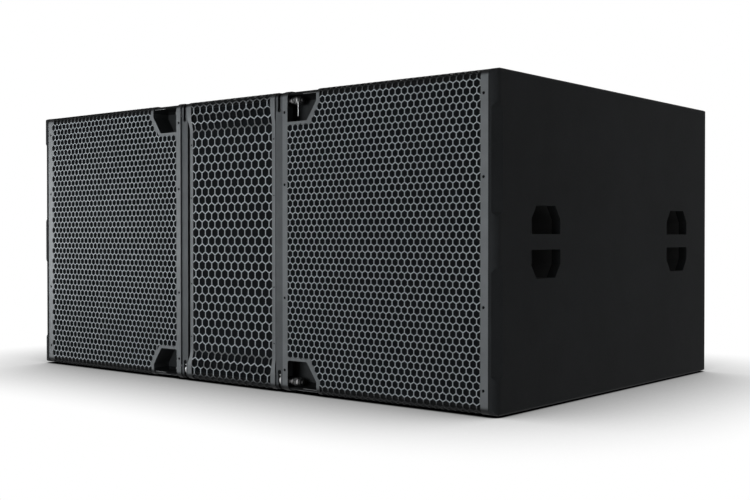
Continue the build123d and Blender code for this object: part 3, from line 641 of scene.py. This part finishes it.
def side_grille(side, name):
    """Perforated side grille: solid long edges, hand pockets cut through, holes carried round both bends."""
    inner, outer = grille_low.x, grille_high.x
    face_y, back_y = grille_low.y, grille_high.y
    corners = [(back_y, grille_low.z), (face_y, grille_low.z), (face_y, grille_high.z), (back_y, grille_high.z)]
    fold = Fold(corners, (grille_bend, grille_bend))
    upper = [
        (pocket_far, fold.half),
        (pocket_far, shoulder_s),
        (pocket_foot, foot_s),
        (pocket_near, foot_s),
        (pocket_near, fold.half),
    ]
    lower = [(x, -s) for x, s in reversed(upper)]
    outline = [(inner, -fold.half), *lower, (outer, -fold.half), (outer, fold.half), *upper, (inner, fold.half)]
    pocket_corners = (2, 3, 4, 8, 9, 10)
    outline = rounded(outline, dict.fromkeys(pocket_corners, pocket_round))
    slant = Vector((shoulder_s - foot_s, pocket_foot - pocket_far)).normalized()
    reach = slant.x * pocket_foot + slant.y * foot_s + rim_beside
    keep_outs = [
        [
            (0.0, -level, -(foot_s - rim_under)),
            (slant.x, level * slant.y, reach),
            (1.0, 0.0, pocket_far + rim_beside),
            (-1.0, 0.0, -inner),
        ]
        for level in (1, -1)
    ]
    field = [
        (1.0, 0.0, inner + inner_strip),
        (-1.0, 0.0, -(outer - outer_strip)),
        (0.0, 1.0, -fold.half + lip_solid),
        (0.0, -1.0, -fold.half + lip_solid),
    ]
    span = (side_columns - 1) * side_pitch
    first_x = (inner + inner_strip + outer - outer_strip - span) / 2 + grille_shift - side * grille_phase
    holes = honeycomb(side_pitch, side_flats, side_columns, first_x, side_rows, False, field, keep_outs)
    bores = screw_bores((outer - screw_inset, inner + inner_screw_inset), screw_drops, screw_hole)
    mesh = perforated(f"grille_{name}_perforated", fold, outline, holes, bores, side, side_pitch)
    piece = new_piece(f"grille_{name}_perforated", mesh, "grille_paint")
    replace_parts(piece, f"grille_{name}")


def centre_grille():
    """Perforated centre grille: recessed flat, with ramps that bring its ends forward beside the posts."""
    box_low, box_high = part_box("grille_center")
    face_y, back_y = box_low.y, box_high.y
    flat = half_height - ramp_end
    corners = [
        (back_y, grille_low.z),
        (face_y, grille_low.z),
        (face_y, middle_z - flat - ramp_length),
        (face_y + centre_recess, middle_z - flat),
        (face_y + centre_recess, middle_z + flat),
        (face_y, middle_z + flat + ramp_length),
        (face_y, grille_high.z),
        (back_y, grille_high.z),
    ]
    fold = Fold(corners, (grille_bend, *[ramp_bend] * 4, grille_bend))
    ear_from, ear_full = flat + ear_taper, flat + ramp_length
    right = [(centre_ears, -fold.half), (centre_ears, -ear_full), (centre_half, -ear_from)]
    right += [(x, -s) for x, s in reversed(right)]
    outline = right + [(-x, s) for x, s in reversed(right)]
    field = [
        (1.0, 0.0, -centre_half + centre_strip),
        (-1.0, 0.0, -centre_half + centre_strip),
        (0.0, 1.0, -fold.half + lip_solid),
        (0.0, -1.0, -fold.half + lip_solid),
    ]
    first_x = -(centre_columns - 1) * centre_pitch / 2
    holes = honeycomb(centre_pitch, centre_flats, centre_columns, first_x, centre_rows, True, field, [])
    screw_x = centre_half - centre_screw_inset
    bores = screw_bores((-screw_x, screw_x), centre_screw_drops, screw_hole * centre_screw_share)
    mesh = perforated("grille_center_perforated", fold, outline, holes, bores, 1, centre_pitch)
    piece = new_piece("grille_center_perforated", mesh, "grille_paint")
    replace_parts(piece, "grille_center")


# ---------------------------------------------------------------- turned pieces
ROUND, HEXAGON, KNURL = range(3)
knurl_depth = 0.45 * MM


def turned(name, sets, count, slot, body="cabinet"):
    """Skins turned about an axis, as one piece. Each set is (place, rings).

    place maps a distance along the axis and two across it to a point. rings are (along, radius, shape).
    """
    coords, polygons = [], []
    for place, rings in sets:
        before = None
        for along, radius, shape in rings:
            ring = []
            for k in range(count):
                angle = 2 * pi * k / count
                reach = radius
                if shape == HEXAGON:
                    reach = radius * cos(pi / 6) / cos(angle % (pi / 3) - pi / 6)
                if shape == KNURL and k % 2:
                    reach = radius - knurl_depth
                if not radius and ring:
                    ring.append(ring[0])
                    continue
                ring.append(len(coords))
                coords.append(place(along, reach * cos(angle), reach * sin(angle)))
            if before:
                for k in range(count):
                    after = (k + 1) % count
                    corners = tuple(dict.fromkeys((before[k], before[after], ring[after], ring[k])))
                    polygons.append(corners)
            before = ring
    mesh = bpy.data.meshes.new(name)
    mesh.from_pydata(coords, [], polygons)
    return new_piece(name, mesh, slot, body)


pin_shaft, pin_collar, pin_neck, pin_grip, pin_cap = 5.0 * MM, 7.5 * MM, 4.6 * MM, 9.0 * MM, 7.5 * MM
collar_from, neck_from, grip_from, cap_from = 20.5 * MM, 32.5 * MM, 35.5 * MM, 47.5 * MM
cap_to, bore, bore_from, soft_edge, tip_edge = 53.5 * MM, 4.1 * MM, 44.0 * MM, 0.7 * MM, 1.2 * MM
pin_facets, screw_facets, rivet_facets = 48, 24, 20


def pin(side, side_name, end_name, level_name):
    """Quick release pin: shaft with chamfered tip, rounded collar, thin neck, knurled grip and black cap."""
    body = f"{end_name}_{level_name}_pin_{side_name}"
    start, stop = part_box(body)
    tip = start.x if side > 0 else stop.x
    y, z = (start.y + stop.y) / 2, (start.z + stop.z) / 2

    def place(u, v, w):
        return (tip + side * u, y + v, z + w)

    steel = [
        (0.0, 0.0, ROUND),
        (0.0, pin_shaft - tip_edge, ROUND),
        (tip_edge, pin_shaft, ROUND),
        (collar_from, pin_shaft, ROUND),
        (collar_from, pin_collar - soft_edge, ROUND),
        (collar_from + soft_edge, pin_collar, ROUND),
        (neck_from - soft_edge, pin_collar, ROUND),
        (neck_from, pin_collar - soft_edge, ROUND),
        (neck_from, pin_neck, ROUND),
        (grip_from, pin_neck, ROUND),
        (grip_from, pin_grip - 2 * soft_edge, ROUND),
        (grip_from + soft_edge, pin_grip - soft_edge, ROUND),
        (grip_from + 2 * soft_edge, pin_grip, KNURL),
        (cap_from - 2 * soft_edge, pin_grip, KNURL),
        (cap_from - soft_edge, pin_grip - soft_edge, ROUND),
        (cap_from, pin_grip - 2 * soft_edge, ROUND),
        (cap_from, bore, ROUND),
        (bore_from, bore, ROUND),
        (bore_from, 0.0, ROUND),
    ]
    cap = [
        (cap_from, bore, ROUND),
        (cap_from, pin_cap, ROUND),
        (cap_to - soft_edge, pin_cap, ROUND),
        (cap_to, pin_cap - soft_edge, ROUND),
        (cap_to, bore, ROUND),
        (cap_from, bore, ROUND),
    ]
    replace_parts(turned(f"{body}_turned", [(place, steel)], pin_facets, "pin_steel", body), body)
    turned(f"{body}_cap", [(place, cap)], pin_facets, "button_plastic", body)


head_radius, head_rim, head_depth, head_taper, head_skin = 4.4 * MM, 0.1 * MM, 1.3 * MM, 1.0 * MM, 0.05 * MM
socket_key, socket_foot, socket_depth, socket_edge = 3.0 * MM, 2.4 * MM, 3.6 * MM, 0.15 * MM


def grille_screws():
    """Countersunk screws of the grilles, painted with them, each with a hexagon socket in the black cabinet
    paint as painted shade.
    """
    side_low, side_high = grille_low.x, grille_high.x
    centre_low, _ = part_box("grille_center")
    spots = [
        (side_high - screw_inset, grille_low.y, screw_drops),
        (side_low + inner_screw_inset, grille_low.y, screw_drops),
        (centre_half - centre_screw_inset, centre_low.y + centre_recess, centre_screw_drops),
    ]
    heads, shaded_sockets = [], []
    for x, y, drops in spots:
        narrow = centre_screw_share if drops is centre_screw_drops else 1.0
        outer, key = head_radius * narrow, socket_key * narrow
        rim = [
            (head_depth, outer - head_taper * narrow, ROUND),
            (head_skin + head_rim, outer, ROUND),
            (head_skin, outer - head_rim, ROUND),
            (head_skin, key, HEXAGON),
            (2 * socket_edge, key - socket_edge, HEXAGON),
        ]
        well = [rim[-1], (socket_depth, socket_foot * narrow, HEXAGON), (socket_depth, 0.0, ROUND)]
        for side, _ in SIDES:
            for s in [level * (half_height - drop) for level, _ in LEVELS for drop in drops]:

                def place(u, v, w, x=side * x, y=y, z=middle_z + s):
                    return (x + v, y + u, z + w)

                heads.append((place, rim))
                shaded_sockets.append((place, well))
    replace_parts(turned("grille_screw_heads", heads, screw_facets, "screw_black"), "grille_screws")
    # The sockets take the black cabinet paint as painted shade inside them.
    turned("grille_screw_sockets", shaded_sockets, screw_facets, "cabinet_paint")


catch_rise, catch_half, catch_half_wide, catch_thick = 18.5 * MM, 7.0 * MM, 2.0 * MM, 0.9 * MM
catch_depth, catch_bow, catch_tip_share, catch_rows = 1.4 * MM, 1.8 * MM, 0.6, 12
rivet_rise, rivet_depth, rivet_dome, rivet_shank, rivet_foot = 29.5 * MM, 1.2 * MM, 1.9 * MM, 1.0 * MM, 3.0 * MM


def slot_catches():
    """A bowed leaf spring and a rivet in the lower slot of each post."""
    for side, side_name in SIDES:
        for end, end_name in ENDS:
            start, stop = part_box(f"{end_name}_post_{side_name}")
            x = (start.x + stop.x) / 2
            face = start.y if end < 0 else stop.y
            coords, polygons = [], []
            for i in range(catch_rows + 1):
                run = 2 * i / catch_rows - 1
                z = start.z + catch_rise + run * catch_half
                y = face - end * (catch_depth + catch_bow * run * run)
                wide = catch_half_wide * (catch_tip_share if i in (0, catch_rows) else 1.0)
                for dx, dy in ((-wide, 0.0), (wide, 0.0), (wide, catch_thick), (-wide, catch_thick)):
                    coords.append((x + dx, y - end * dy, z))
                if i:
                    a = 4 * i
                    polygons += [(a - 4 + k, a - 4 + (k + 1) % 4, a + (k + 1) % 4, a + k) for k in range(4)]
            polygons += [(0, 1, 2, 3), tuple(4 * catch_rows + k for k in range(4))]
            mesh = bpy.data.meshes.new("slot_catch")
            mesh.from_pydata(coords, [], polygons)
            new_piece(f"{end_name}_catch_{side_name}", mesh, "pin_steel")

            def place(u, v, w, x=x, y=face, z=start.z + rivet_rise, end=end):
                return (x + v, y - end * (rivet_depth + u), z + w)

            angles = (0.0, 0.35, 0.7, 1.05, 1.4)
            dome = [(rivet_dome * (1 - cos(a)), rivet_dome * sin(a), ROUND) for a in angles]
            dome += [(rivet_foot, rivet_shank, ROUND), (rivet_foot, 0.0, ROUND)]
            turned(f"{end_name}_catch_rivet_{side_name}", [(place, dome)], rivet_facets, "pin_steel")


bar_steps, bar_round = 10, 0.25


def bar(name, start, stop, slot, body="cabinet"):
    """A thin strip between two corners, with rounded long edges."""
    start, stop = Vector(start), Vector(stop)
    size = stop - start
    along = max(range(3), key=lambda i: abs(size[i]))
    cross = [i for i in range(3) if i != along]
    rim = bar_round * min(abs(size[i]) for i in cross)
    ring = []
    quarters = ((0, 1), (1, 0)), ((1, 0), (0, -1)), ((0, -1), (-1, 0)), ((-1, 0), (0, 1))
    for before, after in quarters:
        corner = (before[0] + after[0], before[1] + after[1])
        for share in (0.0, 0.5, 1.0):
            lean = [p * (1 - share) + q * share for p, q in zip(before, after)]
            long = hypot(*lean)
            ring.append((corner, (lean[0] / long, lean[1] / long)))
    coords, polygons = [], []
    for i in range(bar_steps + 1):
        for corner, turn in ring:
            point = start + size * 0.5
            point[along] = start[along] + size[along] * (i / bar_steps)
            for axis, side, lean in zip(cross, corner, turn):
                point[axis] += side * (abs(size[axis]) / 2 - rim) + lean * rim
            coords.append(tuple(point))
        if i:
            a, n = len(coords) - len(ring), len(ring)
            polygons += [(a - n + k, a - n + (k + 1) % n, a + (k + 1) % n, a + k) for k in range(n)]
    polygons += [tuple(range(len(ring))), tuple(len(coords) - 1 - k for k in range(len(ring)))]
    mesh = bpy.data.meshes.new(name)
    mesh.from_pydata(coords, [], polygons)
    return new_piece(name, mesh, slot, body)


# Each lip: where it starts along the pocket's width, its drop from the edge, its setback, and its slot.
upper_lips = ((0.52, 7.6 * MM, 3.0 * MM, "dish_paint"),)
lower_lips = (*upper_lips, (0.33, 3.6 * MM, 4.5 * MM, "liner_paint"))
lip_deep, lip_tall, lip_gap = 1.6 * MM, 1.5 * MM, 1.5 * MM
clip_half, clip_near, clip_far, clip_foot, clip_head = 1.0 * MM, 6.6 * MM, 8.4 * MM, 32.0 * MM, 3.0 * MM
clip_from_right, clip_from_left = 3.2 * MM, 16.0 * MM


def pocket_trims():
    """Lipped edges of the top and floor panels in the pockets, and a stiff wire clip under each upper pin."""
    for side, side_name in SIDES:
        for end, end_name in ENDS:
            face = grille_low.y if end < 0 else -grille_low.y
            for level, level_name in LEVELS:
                edge = middle_z + level * half_height
                for share, drop, setback, slot in upper_lips if level > 0 else lower_lips:
                    x, y, z = pocket_near + share * pocket_wide, face - end * setback, edge - level * drop
                    start = (side * x, y, z)
                    stop = (side * (pocket_far - lip_gap), y - end * lip_deep, z - level * lip_tall)
                    bar(f"{end_name}_{level_name}_lip_{side_name}_{round(drop / MM)}", start, stop, slot)
            body = f"{end_name}_top_pin_{side_name}"
            pin_low, pin_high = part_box(body)
            x = pin_high.x - clip_from_right if side > 0 else pin_low.x + clip_from_left
            y, z = (pin_low.y + pin_high.y) / 2, (pin_low.z + pin_high.z) / 2
            start = (x - clip_half, y + end * clip_near, z - clip_foot)
            stop = (x + clip_half, y + end * clip_far, z - clip_head)
            bar(f"{end_name}_clip_{side_name}", start, stop, "pin_steel", body)


# ---------------------------------------------------------------- foam
foam_step, foam_dent, foam_waves = 6.5 * MM, 0.9 * MM, 45.0
foam_cut = 4.0 * MM


def foam(name, pockets):
    """A foam sheet behind a grille, with an uneven face. pockets are convex regions that are cut away."""
    node = f"foam_{name}"
    start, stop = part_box(node)
    columns, rows = round((stop.x - start.x) / foam_step), round((stop.z - start.z) / foam_step)
    dx, dz = (stop.x - start.x) / columns, (stop.z - start.z) / rows
    coords, polygons, place = [], [], {}

    def corner(i, j, back):
        key = (i, j, back)
        if key not in place:
            x, z = start.x + i * dx, start.z + j * dz
            edge = i in (0, columns) or j in (0, rows)
            wave = noise.noise(Vector((x, 0.0, z)) * foam_waves)
            dent = 0.0 if edge else foam_dent * (0.5 + 0.5 * wave)
            place[key] = len(coords)
            coords.append((x, stop.y if back else start.y + dent, z))
        return place[key]

    def kept(i, j):
        if not (0 <= i < columns and 0 <= j < rows):
            return False
        x, z = abs(start.x + (i + 0.5) * dx), abs(start.z + (j + 0.5) * dz - middle_z)
        return not any(all(a * x + b * z > c for a, b, c in pocket) for pocket in pockets)

    for i in range(columns):
        for j in range(rows):
            if not kept(i, j):
                continue
            ring = ((i, j), (i + 1, j), (i + 1, j + 1), (i, j + 1))
            for back in (False, True):
                polygons.append(tuple(corner(*spot, back) for spot in ring))
            for k, (di, dj) in enumerate(((0, -1), (1, 0), (0, 1), (-1, 0))):
                if not kept(i + di, j + dj):
                    a, b = ring[k], ring[(k + 1) % 4]
                    polygons.append((corner(*a, False), corner(*b, False), corner(*b, True), corner(*a, True)))
    mesh = bpy.data.meshes.new(node)
    mesh.from_pydata(coords, [], polygons)
    piece = new_piece(f"{node}_open", mesh, "acoustic_foam")
    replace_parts(piece, node)


def foams():
    """The foam of all three grilles, cut away round the hand pockets."""
    slant = Vector((foot_s - shoulder_s, pocket_far - pocket_foot)).normalized()
    pocket = (
        (0.0, 1.0, foot_s - foam_cut),
        (-1.0, 0.0, -pocket_far - foam_cut),
        (slant.x, slant.y, slant.x * pocket_foot + slant.y * foot_s - foam_cut),
    )
    for _, name in SIDES:
        foam(name, [pocket])
    foam("center", [])


# ---------------------------------------------------------------- stage
def aim(thing, target):
    """Turn a lamp towards a point."""
    thing.rotation_euler = (Vector(target) - thing.location).to_track_quat("-Z", "Y").to_euler()


camera_place, camera_tilt, camera_turn = (1.69975, -2.0154, 0.3103), radians(90 - 0.713), radians(39.609)


def camera():
    """A camera in front and to the right, a little above the middle of the cabinet and almost level."""
    data = bpy.data.cameras.new("camera")
    data.lens = 53.32
    data.sensor_width = 36.0
    data.clip_end = 60.0
    made = bpy.data.objects.new("camera", data)
    made.location = camera_place
    made.rotation_euler = (camera_tilt, 0.0, camera_turn)
    bpy.context.scene.collection.objects.link(made)
    bpy.context.scene.camera = made


def area_light(name, place, target, wide, tall, power, colour):
    """A rectangular lamp that points at its target."""
    data = bpy.data.lights.new(name, "AREA")
    data.shape = "RECTANGLE"
    data.size, data.size_y = wide, tall
    data.energy = power
    data.color = colour
    made = bpy.data.objects.new(name, data)
    made.location = place
    bpy.context.scene.collection.objects.link(made)
    aim(made, target)


def lights():
    """A broad soft key from the front, a softbox at the left, and weaker fills from the right and behind."""
    area_light("key", (0.2, -3.6, 0.44), (0.0, 0.0, 0.26), 1.6, 0.8, 62.0, (0.93, 0.98, 1.0))
    area_light("softbox", (-2.0, -1.33, 0.31), (-0.3, -0.4, 0.27), 1.2, 0.8, 16.6, (0.92, 0.97, 1.0))
    area_light("fill", (3.3, -0.3, 0.9), (0.5, 0.0, 0.3), 2.0, 1.4, 7.5, (0.97, 0.99, 1.0))
    area_light("back", (-0.8, 3.4, 1.2), (0.0, 0.0, 0.3), 2.5, 1.6, 25.0, (1.0, 1.0, 1.0))


def world():
    """Dim grey above the open top of the backdrop."""
    made = bpy.data.worlds.new("world")
    bpy.context.scene.world = made
    made.use_nodes = True
    surroundings = made.node_tree.nodes["Background"]
    surroundings.inputs["Color"].default_value = (0.92, 0.96, 1.0, 1.0)
    surroundings.inputs["Strength"].default_value = 0.06


shade_reach, shade_power, contact_reach = 0.4, 1.7, 0.03
contact_range, shade_ends = (0.35, 0.62), (1.6, 2.2)


def plaster(name, level):
    """Pale plaster, with the light paths and a white emission to mix in."""
    made = Nodes(name, roughness=0.95, specular=0.0)
    made.colour((level, level, level, 1.0))
    white = made.node("ShaderNodeEmission", Color=(1.0, 1.0, 1.0, 1.0), Strength=1.0)
    return made, made.tree.nodes.new("ShaderNodeLightPath").outputs, white


def whitened(made, path, white):
    """Show the white emission to camera, glossy and transmission rays, and the plaster to all others."""
    seen = path["Is Camera Ray"]
    for ray in ("Is Glossy Ray", "Is Transmission Ray"):
        seen = made.maths("MAXIMUM", seen, path[ray])
    mix = made.node("ShaderNodeMixShader", Fac=seen)
    made.put(made.shader.outputs["BSDF"], mix.inputs[1])
    made.put(white.outputs["Emission"], mix.inputs[2])
    made.put(mix.outputs["Shader"], made.tree.nodes["Material Output"].inputs["Surface"])
    return made.material


def backdrop_white(name, level):
    """White wherever the camera or a reflection looks at it. To other rays it is pale plaster."""
    made, path, white = plaster(name, level)
    return whitened(made, path, white)


def floor_white(name, level):
    """As backdrop_white, but to the camera it falls off towards what stands on it, as a soft contact shadow."""
    made, path, white = plaster(name, level)
    open_share = made.node("ShaderNodeAmbientOcclusion", Distance=shade_reach)
    open_share.samples = 24
    touch = made.node("ShaderNodeAmbientOcclusion", Distance=contact_reach)
    touch.samples = 16
    gap = made.node("ShaderNodeMapRange", Value=touch.outputs["AO"])
    gap.inputs["From Min"].default_value, gap.inputs["From Max"].default_value = contact_range
    shade = made.maths("POWER", open_share.outputs["AO"], shade_power)
    shade = made.maths("MULTIPLY", shade, gap.outputs["Result"])
    away = made.node("ShaderNodeVectorMath", Vector=made.place)
    away.operation = "LENGTH"
    edge = made.node("ShaderNodeMapRange", Value=away.outputs["Value"])
    edge.inputs["From Min"].default_value, edge.inputs["From Max"].default_value = shade_ends
    shade = made.maths("MAXIMUM", shade, edge.outputs["Result"])
    unseen = made.maths("SUBTRACT", 1.0, path["Is Camera Ray"])
    made.put(made.maths("MAXIMUM", shade, unseen), white.inputs["Strength"])
    return whitened(made, path, white)


def studio():
    """A pale floor, and a round backdrop that stands on it with an open top."""
    radius, tall, count = 4.2, 4.6, 72
    ring = [(radius * cos(2 * pi * i / count), radius * sin(2 * pi * i / count)) for i in range(count)]
    floor_mesh = bpy.data.meshes.new("floor")
    floor_mesh.from_pydata([(x, y, low.z) for x, y in ring], [], [tuple(range(count))])
    floor_mesh.materials.append(floor_white("floor_white", 0.82))
    wall_mesh = bpy.data.meshes.new("backdrop")
    verts = [(x, y, low.z + z) for z in (0.0, tall) for x, y in ring]
    faces = [(i, i + count, (i + 1) % count + count, (i + 1) % count) for i in range(count)]
    wall_mesh.from_pydata(verts, [], faces)
    wall_mesh.materials.append(backdrop_white("backdrop_white", 0.7))
    for mesh in (floor_mesh, wall_mesh):
        made = bpy.data.objects.new(mesh.name, mesh)
        bpy.context.scene.collection.objects.link(made)


camera()
world()
lights()
studio()
dress_frame()
for side, side_name in SIDES:
    side_grille(side, side_name)
centre_grille()
grille_screws()
slot_catches()
pocket_trims()
foams()
for side, side_name in SIDES:
    for _, end_name in ENDS:
        for _, level_name in LEVELS:
            pin(side, side_name, end_name, level_name)

scene = bpy.context.scene
scene.view_settings.view_transform = "Standard"
